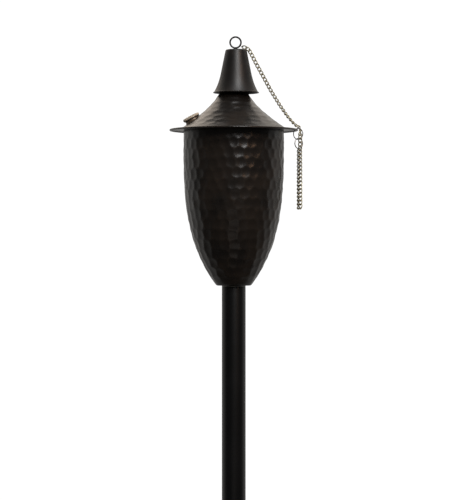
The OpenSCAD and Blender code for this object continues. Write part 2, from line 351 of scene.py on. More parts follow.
@dataclass(frozen=True)
class Fibre(Finish):
    """Soft fibre or rubber: matt colour with fibres, and painted shade in the hollows.

    The colour goes from shade to light with the relief, which paints shade into the hollows, and
    with a stretched noise of fibres.
    """

    light: tuple[float, float, float] = (0.8, 0.78, 0.7)
    shade: tuple[float, float, float] = (0.4, 0.36, 0.28)
    fibre: float = 0.4 * MM
    stretch: tuple[float, float, float] = (1, 1, 0.2)
    depth: float = 0.05 * MM
    roughness: float = 0.85

    def paint(self, tree: Tree) -> None:
        """Builds the fibre's nodes.

        Args:
            tree: the material's empty tree.
        """
        threads = tree.noise(self.fibre, 3, stretch=self.stretch)
        # The relief darkens the hollows as painted shade; the threads are the fibres' own tone.
        tone = (tree.relief() * 0.7 + threads * 0.5).step(0.1, 0.9)
        tree.finish({
            "Base Color": tree.blend(tone, rgba(self.shade), rgba(self.light)),
            "Roughness": self.roughness + (threads - 0.5) * 0.15,
            "Normal": tree.bump(threads, self.depth),
        })


@dataclass(frozen=True)
class Backdrop(Finish):
    """Plain pale studio floor with a faint cloud."""

    tone: float = 0.86
    glow: float = 0.55

    def paint(self, tree: Tree) -> None:
        """Builds the floor's nodes.

        Args:
            tree: the material's empty tree.
        """
        cloud = tree.noise(0.6, 3)
        pale = rgba((self.tone, self.tone, self.tone))
        dim = rgba((self.tone - 0.02, self.tone - 0.02, self.tone - 0.02))
        tree.finish({"Base Color": tree.blend(cloud, dim, pale), "Roughness": 0.7 + cloud * 0.1,
                     "Emission Color": pale, "Emission Strength": self.glow})


HAMMERED = Lacquer("hammered_bronze_lacquer", "hammered_bronze", wear=0.22, roughness=0.28)
SATIN = Lacquer("satin_bronze_lacquer", "satin_bronze", deep=(0.007, 0.006, 0.0055),
                warm=(0.013, 0.0095, 0.0078), wear=0.2, roughness=0.44, cloud=18 * MM, specular=0.68)
# The neck's bronze is painted many times lighter than the hammered bronze: a painted sheen that stands
# in for the light reflected off the lit cone beside it.
NECK_PAINTED_SHEEN = Lacquer("bronze_lacquer_painted_sheen", "dark_bronze", deep=(0.13, 0.095, 0.066),
               warm=(0.24, 0.18, 0.125), worn=(0.4, 0.3, 0.2), metallic=0.4, roughness=0.42)
POWDER = Lacquer("pole_powder_coat", "pole_black", deep=(0.0024, 0.0025, 0.003),
                 warm=(0.0036, 0.0037, 0.0043), worn=(0.03, 0.03, 0.03), wear=0.15, roughness=0.37,
                 spread=0.06, grain=0.35 * MM, grain_depth=0.012 * MM)
IRON = Lacquer("stake_enamel", "stake_iron", deep=(0.012, 0.012, 0.013), warm=(0.02, 0.018, 0.016),
               worn=(0.12, 0.09, 0.06), wear=0.7, roughness=0.5, grain=0.8 * MM,
               grain_depth=0.03 * MM)
WIRE = Lacquer("ring_lacquer", "black_wire", deep=(0.005, 0.005, 0.005), warm=(0.008, 0.0075, 0.007),
               wear=0.2, roughness=0.38, cloud=6 * MM)
SPIGOT = Plate("drawn_steel", "spigot_steel", bright=(0.42, 0.42, 0.43), hollow=(0.16, 0.16, 0.16),
               stain=(0.3, 0.28, 0.26), roughness=0.35, streak=(1, 1, 0.05), cloud=14 * MM)
ZINC = Plate("zinc_plate", "zinc_fastener", bright=(0.6, 0.6, 0.56), hollow=(0.2, 0.19, 0.17),
             stain=(0.5, 0.47, 0.36), roughness=0.35)
WASHER = Plate("washer_zinc", "zinc_washer", bright=(0.3, 0.3, 0.28), hollow=(0.1, 0.1, 0.09),
               stain=(0.2, 0.19, 0.17), roughness=0.45)
NICKEL = Plate("nickel_wire", "ring_nickel", bright=(0.55, 0.52, 0.5), hollow=(0.2, 0.18, 0.17),
               stain=(0.4, 0.36, 0.32), roughness=0.28, cloud=3 * MM)
CHAIN = Plate("antique_chain", "chain_antique", bright=(0.54, 0.49, 0.34), hollow=(0.12, 0.1, 0.055),
              stain=(0.38, 0.33, 0.2), roughness=0.38, cloud=4 * MM, metallic=0.55)
CAP = Plate("pale_brass", "filler_brass", bright=(0.95, 0.85, 0.72), hollow=(0.34, 0.26, 0.17),
            stain=(0.82, 0.72, 0.58), roughness=0.45, cloud=4 * MM, metallic=0.1)
BRASS = Plate("wick_holder_brass", "wick_brass", bright=(0.68, 0.52, 0.25), hollow=(0.3, 0.2, 0.08),
              stain=(0.4, 0.28, 0.13), roughness=0.3, cloud=7 * MM)
WICK = Fibre("wick_braid", "wick_fibre")
PRESSED = Fibre("pressed_fibre", "fibre_gasket", light=(0.62, 0.56, 0.45), shade=(0.35, 0.3, 0.22),
                stretch=(1, 1, 1))
RUBBER = Fibre("dark_rubber", "rubber_gasket", light=(0.022, 0.018, 0.015),
               shade=(0.008, 0.007, 0.006), stretch=(1, 1, 1), depth=0.01 * MM, roughness=0.6)
FLOOR = Backdrop("studio_floor", "")


# ---- Surfaces ----

@dataclass
class Skin:
    """A closed skin on a grid: points by rows and columns, the columns joined end to end.

    The rows are joined end to end too where ring is true. Otherwise each end row closes on its own
    middle point. relief is 0 in hollows and 1 on crests.
    """

    points: np.ndarray
    relief: np.ndarray | None = None
    ring: bool = False

    def parts(self) -> tuple[np.ndarray, np.ndarray, np.ndarray, np.ndarray]:
        """The skin as a mesh.

        Returns:
            Points, reliefs, four-sided faces and three-sided faces, which point outwards.
        """
        rows, columns, _ = self.points.shape
        relief = np.full((rows, columns), 0.6) if self.relief is None else self.relief
        index = np.arange(rows * columns).reshape(rows, columns)
        right = np.roll(index, -1, axis=1)
        if self.ring:
            below, below_right = np.roll(index, -1, axis=0), np.roll(right, -1, axis=0)
            quads = np.stack([index, right, below_right, below], axis=-1).reshape(-1, 4)
            points, marks = self.points.reshape(-1, 3), relief.reshape(-1)
            tris = np.zeros((0, 3), dtype=int)
        else:
            quads = np.stack([index[:-1], right[:-1], right[1:], index[1:]], axis=-1).reshape(-1, 4)
            ends = np.stack([self.points[0].mean(axis=0), self.points[-1].mean(axis=0)])
            points = np.vstack([self.points.reshape(-1, 3), ends])
            marks = np.append(relief.reshape(-1), [relief[0].mean(), relief[-1].mean()])
            first = np.full(columns, rows * columns)
            tris = np.vstack([np.stack([first, right[0], index[0]], axis=-1),
                              np.stack([first + 1, index[-1], right[-1]], axis=-1)])
        if self._volume(points, quads, tris) < 0:
            quads, tris = quads[:, ::-1], tris[:, ::-1]
        return points, marks, quads, tris

    @staticmethod
    def _volume(points: np.ndarray, quads: np.ndarray, tris: np.ndarray) -> float:
        """Works out the signed volume: a sixth of the sum over triangles of a . (b x c).

        Args:
            points: the mesh's points.
            quads: its four-sided faces, each taken as two triangles.
            tris: its three-sided faces.

        Returns:
            The volume, which is negative where the faces point inwards.
        """
        halves = np.vstack([quads[:, [0, 1, 2]], quads[:, [0, 2, 3]], tris])
        a, b, c = (points[halves[:, k]] for k in range(3))
        return float(np.einsum("ij,ij->i", a, np.cross(b, c)).sum() / 6)


def make_piece(name: str, skins: list[Skin], body: str, finish: Finish, nodes: list[str],
               sharp: float = 38.0, rides: bool = True) -> bpy.types.Object:
    """Makes one object from closed skins, dresses it, and ties it to its body.

    Args:
        name: the piece's name.
        skins: the closed skins it is made of.
        body: the CAD body that it rides on.
        finish: its finish.
        nodes: the CAD nodes that it stands for.
        sharp: the angle in degrees past which an edge stays crisp.
        rides: whether it rides on the body, or is left unattached for the caller.

    Returns:
        The new object.
    """
    points, marks, quads, tris, base = [], [], [], [], 0
    for skin in skins:
        p, m, q, t = skin.parts()
        points.append(p)
        marks.append(m)
        quads.append(q + base)
        tris.append(t + base)
        base += len(p)
    all_points, all_quads, all_tris = np.vstack(points), np.vstack(quads), np.vstack(tris)
    mesh = bpy.data.meshes.new(name)
    mesh.vertices.add(len(all_points))
    mesh.vertices.foreach_set("co", all_points.astype(np.float32).ravel())
    corners = np.concatenate([all_quads.ravel(), all_tris.ravel()])
    starts = np.concatenate([np.arange(len(all_quads)) * 4,
                             len(all_quads) * 4 + np.arange(len(all_tris)) * 3])
    mesh.loops.add(len(corners))
    mesh.loops.foreach_set("vertex_index", corners.astype(np.int32))
    mesh.polygons.add(len(starts))
    mesh.polygons.foreach_set("loop_start", starts.astype(np.int32))
    mesh.update(calc_edges=True)
    mesh.validate()
    mesh.attributes.new("relief", "FLOAT", "POINT").data.foreach_set(
        "value", np.concatenate(marks).astype(np.float32))
    mesh.polygons.foreach_set("use_smooth", np.ones(len(starts), dtype=bool))
    mesh.set_sharp_from_angle(angle=math.radians(sharp))
    mesh.materials.append(finish.material())
    piece = bpy.data.objects.new(name, mesh)
    bpy.context.scene.collection.objects.link(piece)
    if rides:
        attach(piece, body)
    if nodes:
        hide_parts(*nodes)
    log.info("%s: %d faces on %s", name, len(starts), body)
    return piece


def rounded(outline: list[tuple[float, float, float]], steps: int = 5) -> np.ndarray:
    """Rounds the corners of a closed outline.

    Each corner (x, y, radius) becomes a quadratic arc between the points at that radius's tangent
    length before and after it.

    Args:
        outline: corner points with their radii.
        steps: points along each arc, less one.

    Returns:
        The rounded outline's points.
    """
    corners = np.array([p[:2] for p in outline], dtype=float)
    out: list[np.ndarray] = []
    for i, (_, _, radius) in enumerate(outline):
        here, before, after = corners[i], corners[i - 1], corners[(i + 1) % len(corners)]
        if radius <= 0:
            out.append(here[None])
            continue
        back, on = before - here, after - here
        cut = min(radius, 0.49 * np.linalg.norm(back), 0.49 * np.linalg.norm(on))
        start = here + back / np.linalg.norm(back) * cut
        stop = here + on / np.linalg.norm(on) * cut
        t = np.linspace(0, 1, steps + 1)[:, None]
        out.append((1 - t) ** 2 * start + 2 * t * (1 - t) * here + t ** 2 * stop)
    return np.vstack(out)


def turned(outline: np.ndarray, columns: int, centre: tuple[float, float, float] = (0, 0, 0),
           relief: np.ndarray | None = None) -> Skin:
    """Turns a closed outline of (radius, height) round the Z axis.

    Each point (r, z) goes round as (r cos a, r sin a, z). An outline that starts and ends on the
    axis closes on it, and any other is a ring.

    Args:
        outline: the points, in order.
        columns: how many steps round.
        centre: where the axis's zero stands.
        relief: a relief for each point of the outline.

    Returns:
        The skin.
    """
    angle = np.arange(columns) * TAU / columns
    r, z = outline[:, :1], outline[:, 1:2]
    points = np.stack([r * np.cos(angle), r * np.sin(angle), z + 0 * angle], axis=-1)
    closes = outline[0, 0] < 1e-6 and outline[-1, 0] < 1e-6
    if closes:
        points = points[1:-1]
        relief = relief[1:-1] if relief is not None else None
    marks = None if relief is None else np.repeat(relief[:, None], columns, axis=1)
    return Skin(points + np.array(centre), marks, ring=not closes)


def swept(path: np.ndarray, radius: float, sides: int, closed: bool, taper: float = 0) -> Skin:
    """Carries a circle along a path.

    At each point the circle stands square to the path: its first direction is the path's bend away
    from a fixed reference, and its second is square to both.

    Args:
        path: the middle line's points.
        radius: the circle's radius.
        sides: how many steps round the circle.
        closed: whether the path joins its own start.
        taper: how much thinner the ends are, as a share.

    Returns:
        The skin.
    """
    if closed:
        ahead = np.roll(path, -1, axis=0) - np.roll(path, 1, axis=0)
    else:
        ahead = np.gradient(path, axis=0)
    ahead /= np.linalg.norm(ahead, axis=1, keepdims=True)
    middle = path.mean(axis=0)
    out = path - middle
    out -= (out * ahead).sum(axis=1, keepdims=True) * ahead
    out /= np.linalg.norm(out, axis=1, keepdims=True)
    side = np.cross(ahead, out)
    angle = np.arange(sides) * TAU / sides
    share = np.linspace(-1, 1, len(path)) ** 8 if not closed else np.zeros(len(path))
    size = (radius * (1 - taper * share))[:, None, None]
    points = path[:, None] + size * (np.cos(angle)[:, None] * out[:, None]
                                     + np.sin(angle)[:, None] * side[:, None])
    # The relief is highest on the wire's outer side and lowest on its inner side: plated finishes paint
    # shade on the inner side, between the links, and lacquer wears the outer side.
    marks = np.repeat((0.55 + 0.45 * np.cos(angle))[None], len(path), axis=0)
    return Skin(points, marks, ring=closed)


def wire_loop(centre: np.ndarray, radius: float, wire: float, turn: float, cut: float) -> Skin:
    """A jump ring: a round wire bent to a circle in an upright plane, with a hair-wide cut.

    The middle line is centre + radius (cos t u + sin t z), with t from just past the cut to just
    before it, and u the level direction of the plane.

    Args:
        centre: the ring's centre.
        radius: the middle line's radius.
        wire: the wire's diameter.
        turn: the plane's turn about Z, in degrees.
        cut: where the cut is, in degrees round from the level direction.

    Returns:
        The skin.
    """
    gap = 0.12 * MM / radius
    t = math.radians(cut) + np.linspace(gap / 2, TAU - gap / 2, 97)
    level = np.array([math.cos(math.radians(turn)), math.sin(math.radians(turn)), 0])
    path = centre + radius * (np.cos(t)[:, None] * level + np.sin(t)[:, None] * np.array([0, 0, 1]))
    return swept(path, wire / 2, 16, closed=False, taper=0.06)


@dataclass(frozen=True)
class Hammering:
    """Rows of hammer marks on a turned sheet.

    Marks stand in rows along the outline, each row turned half a mark from the last. A mark's
    hollow grows with the square of the distance from its middle, and neighbouring hollows meet in
    soft ridges: the height is minus blend times the log of the summed exponents of minus the
    squared distances over blend. Places and depths are uneven, from a seeded draw.
    """

    row_pitch: float
    mark_pitch: float
    depth: float
    uneven: float
    seed: int
    softness: float = 0.36
    ridge: float = 1.25

    def height(self, run: np.ndarray, radius: np.ndarray, columns: int) -> tuple[np.ndarray, np.ndarray]:
        """Works out the marks over a grid.

        Args:
            run: running length along the outline at each row of the grid.
            radius: the sheet's radius at each row.
            columns: how many columns the grid has round.

        Returns:
            The height above the ridges, which is negative in a hollow, and the relief.
        """
        rows = int(run[-1] / self.row_pitch) + 3
        at_row = (np.arange(rows) - 0.5) * self.row_pitch
        row_radius = np.interp(at_row, run, radius)
        counts = np.maximum(7, np.round(TAU * row_radius / self.mark_pitch)).astype(int)
        draw = np.random.default_rng(self.seed)
        shifts = draw.uniform(-self.uneven, self.uneven, (rows, int(counts.max()), 3))
        angle = np.arange(columns)[None] * TAU / columns
        half = self.row_pitch / 2
        soft = self.softness * half * half
        total = np.zeros((len(run), columns))
        nearest_row = np.clip(np.round(run / self.row_pitch + 0.5).astype(int), 1, rows - 2)
        for row_step in (-1, 0, 1):
            row = (nearest_row + row_step)[:, None]
            count = counts[row]
            turn = angle / TAU * count + 0.5 * (row % 2)
            for mark_step in (-1, 0, 1):
                mark = np.floor(turn) + mark_step
                shift = shifts[row, np.mod(mark, count).astype(int)]
                across = (turn - mark - 0.5 - shift[..., 0]) * TAU * row_radius[row] / count
                along = run[:, None] - at_row[row] - shift[..., 1] * self.row_pitch
                square = across ** 2 * (self.row_pitch / self.mark_pitch) ** 2 + along ** 2
                total += np.exp(-(square + shift[..., 2] * 0.5 * half * half) / soft)
        level = -soft * np.log(np.maximum(total, 1e-12)) / (half * half)
        crest = np.clip(level / 1.3, 0, 1)
        return self.depth * (np.clip(level, -0.5, self.ridge) - self.ridge), crest


def smooth_step(x: np.ndarray) -> np.ndarray:
    """A smooth step from 0 at 0 to 1 at 1."""
    t = np.clip(x, 0, 1)
    return t * t * (3 - 2 * t)


def lowered(outline: np.ndarray, columns: int, height: np.ndarray) -> np.ndarray:
    """Turns an outline round Z and moves each point along the outline's own normal.

    Args:
        outline: points (radius, height), in order, with the metal on their left.
        columns: how many steps round.
        height: how far out each point moves.

    Returns:
        The grid of points.
    """
    angle = np.arange(columns) * TAU / columns
    along = np.gradient(outline, axis=0)
    along /= np.linalg.norm(along, axis=1, keepdims=True)
    lift = height + np.zeros((len(outline), columns))
    r = outline[:, :1] - along[:, 1:2] * lift
    z = outline[:, 1:2] + along[:, :1] * lift
    return np.stack([r * np.cos(angle), r * np.sin(angle), z], axis=-1)


# ---- Studio ----

@dataclass(frozen=True)
class Studio:
    """Camera, light and floor."""

    rim_z: float
    foot_z: float
    distance: float = 2.3
    camera_x: float = 2.4 * MM
    below_rim: float = 127.8 * MM
    seen_height: float = 532.5 * MM
    front_light: float = 0.05
    back_light: float = 0.42
    floor_r: float = 3.5
    floor_t: float = 0.02

    def camera(self) -> None:
        """Adds the camera, level, in front of the torch and a little below its brim."""
        data = bpy.data.cameras.new("studio_camera")
        data.sensor_width = 36.0
        data.lens = data.sensor_width * self.distance / self.seen_height
        data.clip_end = 50
        camera = bpy.data.objects.new("studio_camera", data)
        camera.location = (self.camera_x, -self.distance, self.rim_z - self.below_rim)
        camera.rotation_euler = (math.radians(90), 0, 0)
        bpy.context.scene.collection.objects.link(camera)
        bpy.context.scene.camera = camera

    def panel(self, name: str, place: tuple[float, float, float], size: tuple[float, float],
              power: float, colour: tuple[float, float, float] = (1, 1, 1)) -> None:
        """Adds a soft rectangular light that faces the head of the torch.

        Args:
            name: the light's name.
            place: where it stands, from the middle of the head.
            size: its width and height.
            power: its power in watts.
            colour: its colour.
        """
        data = bpy.data.lights.new(name, "AREA")
        data.shape = "RECTANGLE"
        data.size, data.size_y = size
        data.energy = power
        data.color = colour
        light = bpy.data.objects.new(name, data)
        light.visible_camera = False
        head = np.array([0, 0, self.rim_z])
        light.location = head + np.array(place)
        away = np.array(place) / np.linalg.norm(place)
        pitch = math.atan2(math.hypot(away[0], away[1]), away[2])
        light.rotation_euler = (pitch, 0, math.atan2(away[0], -away[1]))
        bpy.context.scene.collection.objects.link(light)

    def light(self) -> None:
        """Adds the lights and the surround."""
        self.panel("front_strip", (0.33, -1.4, 0.6), (0.34, 0.36), 4.6)
        self.panel("middle_strip", (0.34, -1.1, 1.15), (0.34, 0.5), 9.5)
        self.panel("high_strip", (0.06, -0.34, 1.27), (0.22, 0.24), 2.0)
        self.panel("warm_strip", (0.95, -1.3, 0.62), (0.3, 0.5), 2.6, (1.0, 0.58, 0.34))
        self.panel("low_fill", (0.0, -1.5, -0.95), (0.8, 0.6), 0.42, (1.0, 0.92, 0.84))
        self.panel("left_top", (-0.75, 1.25, 1.05), (1.1, 1.0), 4.8, (1.0, 0.85, 0.7))
        self.panel("right_top", (0.75, 1.25, 1.05), (1.1, 1.0), 3.0, (1.0, 0.9, 0.78))
        self.surround()

    def surround(self) -> None:
        """Adds a surround that shows white, and lights from behind and the sides but not the top.

        Its light is a little everywhere, plus a share of the direction's Y that steps up from the
        front to the back, times a share of its Z that steps down towards straight up. All of it
        dims below the level of the head.
        """
        world = bpy.data.worlds.new("white_surround")
        bpy.context.scene.world = world
        tree = Tree(world)
        way = tree.add("ShaderNodeTexCoord", "Generated", {}, {})
        behind = tree.add("ShaderNodeSeparateXYZ", "Y", {}, {0: way}).step(-0.22, 0.5)
        overhead = tree.add("ShaderNodeSeparateXYZ", "Z", {}, {0: way}).step(0.78, 0.97)
        above = tree.add("ShaderNodeSeparateXYZ", "Z", {}, {0: way}).step(-0.6, -0.1) * 0.35 + 0.65
        strength = (self.front_light + self.back_light * behind * (1 - overhead)) * above
        white = (1.0, 1.0, 1.0, 1.0)
        seen = tree.add("ShaderNodeBackground", 0, {}, {"Color": white, "Strength": 1.05})
        warm = (1.0, 0.975, 0.94, 1.0)
        lit = tree.add("ShaderNodeBackground", 0, {}, {"Color": warm, "Strength": strength})
        direct = tree.add("ShaderNodeLightPath", "Is Camera Ray", {}, {})
        mixed = tree.add("ShaderNodeMixShader", 0, {}, {0: direct, 1: lit, 2: seen})
        tree.add_output(mixed, Output.WORLD)
        bpy.context.scene.view_settings.view_transform = "Standard"

    def floor(self) -> None:
        """Adds a round floor just under the spike's point."""
        outline = np.array([[0, 0], [self.floor_r, 0], [self.floor_r, -self.floor_t],
                            [0, -self.floor_t]])
        disc = turned(outline, 96, (0, 0, self.foot_z - 1 * MM))
        points, _, quads, tris = disc.parts()
        mesh = bpy.data.meshes.new("studio_floor")
        mesh.from_pydata(points.tolist(), [], quads.tolist() + tris.tolist())
        mesh.materials.append(FLOOR.material())
        floor = bpy.data.objects.new("studio_floor", mesh)
        bpy.context.scene.collection.objects.link(floor)
        floor.visible_glossy = False
        floor.visible_diffuse = False


# ---- Stake and pole ----

def socket_outline(node: str, inner: float, edge: float) -> np.ndarray:
    """A plain tube's rounded outline, from a CAD node's box.

    Args:
        node: the CAD node, whose outer radius and ends are used.
        inner: the bore's radius.
        edge: the edges' radius.

    Returns:
        The outline's points.
    """
    low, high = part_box(node)
    outer = (high[0] - low[0]) / 2
    return rounded([(inner, low[2], edge / 2), (outer, low[2], edge), (outer, high[2], edge),
                    (inner, high[2], edge / 2)])


@dataclass(frozen=True)
class Stake:
    """Ground spike with its step bar, collar, spigot and nut."""

    spike_r: float = 6 * MM
    shoulder_r: float = 11 * MM
    stem_r: float = 8 * MM
    stud_r: float = 5 * MM
    point: float = 25 * MM
    bar_end_r: float = 9 * MM
    bar_edge: float = 0.9 * MM

    def build(self) -> None:
        """Builds the stake's pieces."""
        low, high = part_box("ground_spike")
        point_z = low[2] + self.point
        bar_low, bar_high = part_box("foot_bar")
        spigot_low, spigot_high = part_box("stake_spigot")
        spike = rounded([
            (0, low[2], 0), (0.9 * MM, low[2], 0.5 * MM), (self.spike_r, point_z, 4 * MM),
            (self.spike_r, 0, 0.3 * MM), (self.shoulder_r, 0, 0.8 * MM),
            (self.shoulder_r, bar_low[2], 0.8 * MM), (self.stem_r, bar_low[2], 0),
            (self.stem_r, spigot_high[2] - 1 * MM, 0.3 * MM),
            (self.stud_r, spigot_high[2] - 1 * MM, 0), (self.stud_r, high[2], 0.8 * MM),
            (0, high[2], 0),
        ])
        make_piece("spike_rod", [turned(spike, 64)], "stake", IRON, ["ground_spike"])
        make_piece("step_bar", [self.bar(bar_low, bar_high)], "stake", IRON, ["foot_bar"], sharp=50)
        collar_low, (outer, _, top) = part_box("stake_collar")
        foot = collar_low[2]
        collar = rounded([
            (self.stem_r, foot, 0), (outer - 1.5 * MM, foot, 0.5 * MM),
            (outer, foot + 1.5 * MM, 0.8 * MM), (outer, foot + 7 * MM, 0.3 * MM),
            (outer - 0.8 * MM, foot + 8 * MM, 0.5 * MM), (outer, foot + 9 * MM, 0.3 * MM),
            (outer, top, 0.4 * MM), (self.stem_r, top, 0),
        ])
        make_piece("spike_collar", [turned(collar, 72)], "stake", IRON, ["stake_collar"])
        spigot_r = spigot_high[0]
        spigot = rounded([
            (self.stem_r, spigot_low[2], 0), (spigot_r, spigot_low[2], 0.3 * MM),
            (spigot_r, spigot_high[2] - 2 * MM, 1 * MM),
            (spigot_r - 1.5 * MM, spigot_high[2], 0.5 * MM), (self.stem_r, spigot_high[2], 0),
        ])
        make_piece("spike_spigot", [turned(spigot, 72)], "stake", SPIGOT, ["stake_spigot"])
        nut_low, nut_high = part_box("stake_nut")
        make_piece("spigot_nut", [hex_nut(nut_low[2], nut_high[2], nut_high[0], self.stud_r)],
                   "stake", ZINC, ["stake_nut"])

    def bar(self, low: Any, high: Any) -> Skin:
        """The step bar: level slices of a round-ended outline, with a swell round the spike.

        The outline's half width at x is the round end's, or the swell's circle where that is
        wider. Slices shrink by an ellipse's law towards the top and bottom for worn edges.

        Args:
            low: the CAD bar's lowest corner.
            high: its highest corner.

        Returns:
            The skin.
        """
        half, swell, end_r, edge = high[0], high[1], self.bar_end_r, self.bar_edge
        side = np.linspace(-1, 1, 161)
        x = half * np.sin(side * math.pi / 2)
        over = np.clip(np.abs(x) - (half - end_r), 0, end_r)
        ends = np.sqrt(np.maximum(end_r ** 2 - over ** 2, 0))
        swelled = np.sqrt(np.maximum(swell ** 2 - x ** 2, 0))
        width = np.maximum(ends, swelled)
        loop_x = np.concatenate([x, x[::-1][1:-1]])
        loop_y = np.concatenate([-width, width[::-1][1:-1]])
        t = np.linspace(0, math.pi / 2, 5)
        inset = np.concatenate([edge * (1 - np.sin(t)), edge * (1 - np.cos(t))])
        height = np.concatenate([low[2] + edge * (1 - np.cos(t)), high[2] - edge * (1 - np.sin(t))])
        shrink_x = 1 - inset[:, None] / half
        shrink_y = 1 - inset[:, None] / end_r
        points = np.stack([loop_x * shrink_x, loop_y * shrink_y,
                           np.repeat(height[:, None], len(loop_x), axis=1)], axis=-1)
        return Skin(points)


def hex_nut(foot: float, top: float, corner_r: float, bore_r: float,
            centre: tuple[float, float] = (0, 0)) -> Skin:
    """A hexagonal nut with chamfered corners.

    Its radius at angle a is the hexagon's, the flat's distance over the cosine of the angle from
    the flat's middle, cut back by a cone near the top and bottom.

    Args:
        foot: height of its lower face.
        top: height of its upper face.
        corner_r: radius of its corners.
        bore_r: radius of its bore.
        centre: where its axis stands.

    Returns:
        The skin.
    """
    columns = 96
    angle = np.arange(columns) * TAU / columns
    flat = corner_r * math.cos(math.pi / 6)
    hexagon = flat / np.cos(np.mod(angle, math.pi / 3) - math.pi / 6)
    cut = 0.45 * (corner_r - flat)
    rows = [
        (np.full(columns, bore_r), foot), (np.full(columns, flat * 0.97), foot),
        (np.minimum(hexagon, flat + cut), foot + 0.3 * cut), (hexagon, foot + 1.6 * cut),
        (hexagon, top - 1.6 * cut), (np.minimum(hexagon, flat + cut), top - 0.3 * cut),
        (np.full(columns, flat * 0.97), top), (np.full(columns, bore_r), top),
    ]
    points = np.array([
        np.stack([r * np.cos(angle) + centre[0], r * np.sin(angle) + centre[1],
                  np.full(columns, z)], axis=-1) for r, z in rows
    ])
    return Skin(points, ring=True)


def threaded(foot: float, top: float, radius: float, pitch: float, depth: float, columns: int = 48,
             centre: tuple[float, float] = (0, 0)) -> Skin:
    """A screw thread on a rod.

    The radius falls by depth times a rounded saw of the height over the pitch less the angle's
    share of a turn, and fades to a plain chamfer at both ends.

    Args:
        foot: height of its lower end.
        top: height of its upper end.
        radius: the thread's outer radius.
        pitch: its rise in one turn.
        depth: its depth.
        columns: how many steps round.
        centre: where its axis stands.

    Returns:
        The skin.
    """
    steps = int((top - foot) / pitch * 8) + 2
    z = np.linspace(foot, top, steps)[:, None]
    angle = np.arange(columns)[None] * TAU / columns
    saw = np.abs(np.mod(z / pitch - angle / TAU, 1.0) - 0.5) * 2
    cut = smooth_step(saw)
    ends = np.minimum(z - foot, top - z)
    fade = smooth_step(ends / (0.8 * pitch))
    r = radius - depth * cut * fade - 0.8 * depth * (1 - fade)
    points = np.stack([r * np.cos(angle) + centre[0], r * np.sin(angle) + centre[1],
                       z + 0 * angle], axis=-1)
    # The relief is low in the thread's roots, where the plated finish paints shade.
    return Skin(points, 1 - cut)


@dataclass(frozen=True)
class Pole:
    """Three tube sections, the sleeves that join them, and the plug at the top."""

    wall: float = 1 * MM
    edge: float = 0.7 * MM
    columns: int = 96
    sleeve_wall: float = 1.2 * MM
    sleeve_play: float = 0.08 * MM
    plug_bore: float = 5.01 * MM

    def build(self) -> None:
        """Builds the pole's pieces. The upper half of each sleeve has a little play in its tube."""
        for part, body in (("lower", "lower_pole"), ("middle", "middle_pole"), ("upper", "upper_pole")):
            node = f"pole_{part}"
            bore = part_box(node)[1][0] - self.wall
            tube = turned(socket_outline(node, bore, self.edge), self.columns)
            make_piece(f"{part}_tube", [tube], body, POWDER, [node])
        for part, body in (("lower", "lower_pole"), ("upper", "middle_pole")):
            node = f"{part}_joint_sleeve"
            low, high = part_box(node)
            outer, mid = high[0], (low[2] + high[2]) / 2
            inner, loose = outer - self.sleeve_wall, outer - self.sleeve_play
            sleeve = rounded([
                (inner, low[2], 0), (outer, low[2], 0), (outer, mid, 0), (loose, mid, 0),
                (loose, high[2] - 2 * MM, 1 * MM), (outer - 0.6 * MM, high[2], 0.3 * MM),
                (inner, high[2], 0.2 * MM),
            ])
            make_piece(f"{part}_sleeve", [turned(sleeve, 72)], body, SPIGOT, [node])
        low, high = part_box("pole_top_plug")
        plug = rounded([(self.plug_bore, low[2], 0), (high[0], low[2], 0),
                        (high[0], high[2], 0.3 * MM), (self.plug_bore, high[2], 0.6 * MM)])
        make_piece("top_plug", [turned(plug, 72)], "upper_pole", SPIGOT, ["pole_top_plug"])


# ---- Reservoir ----

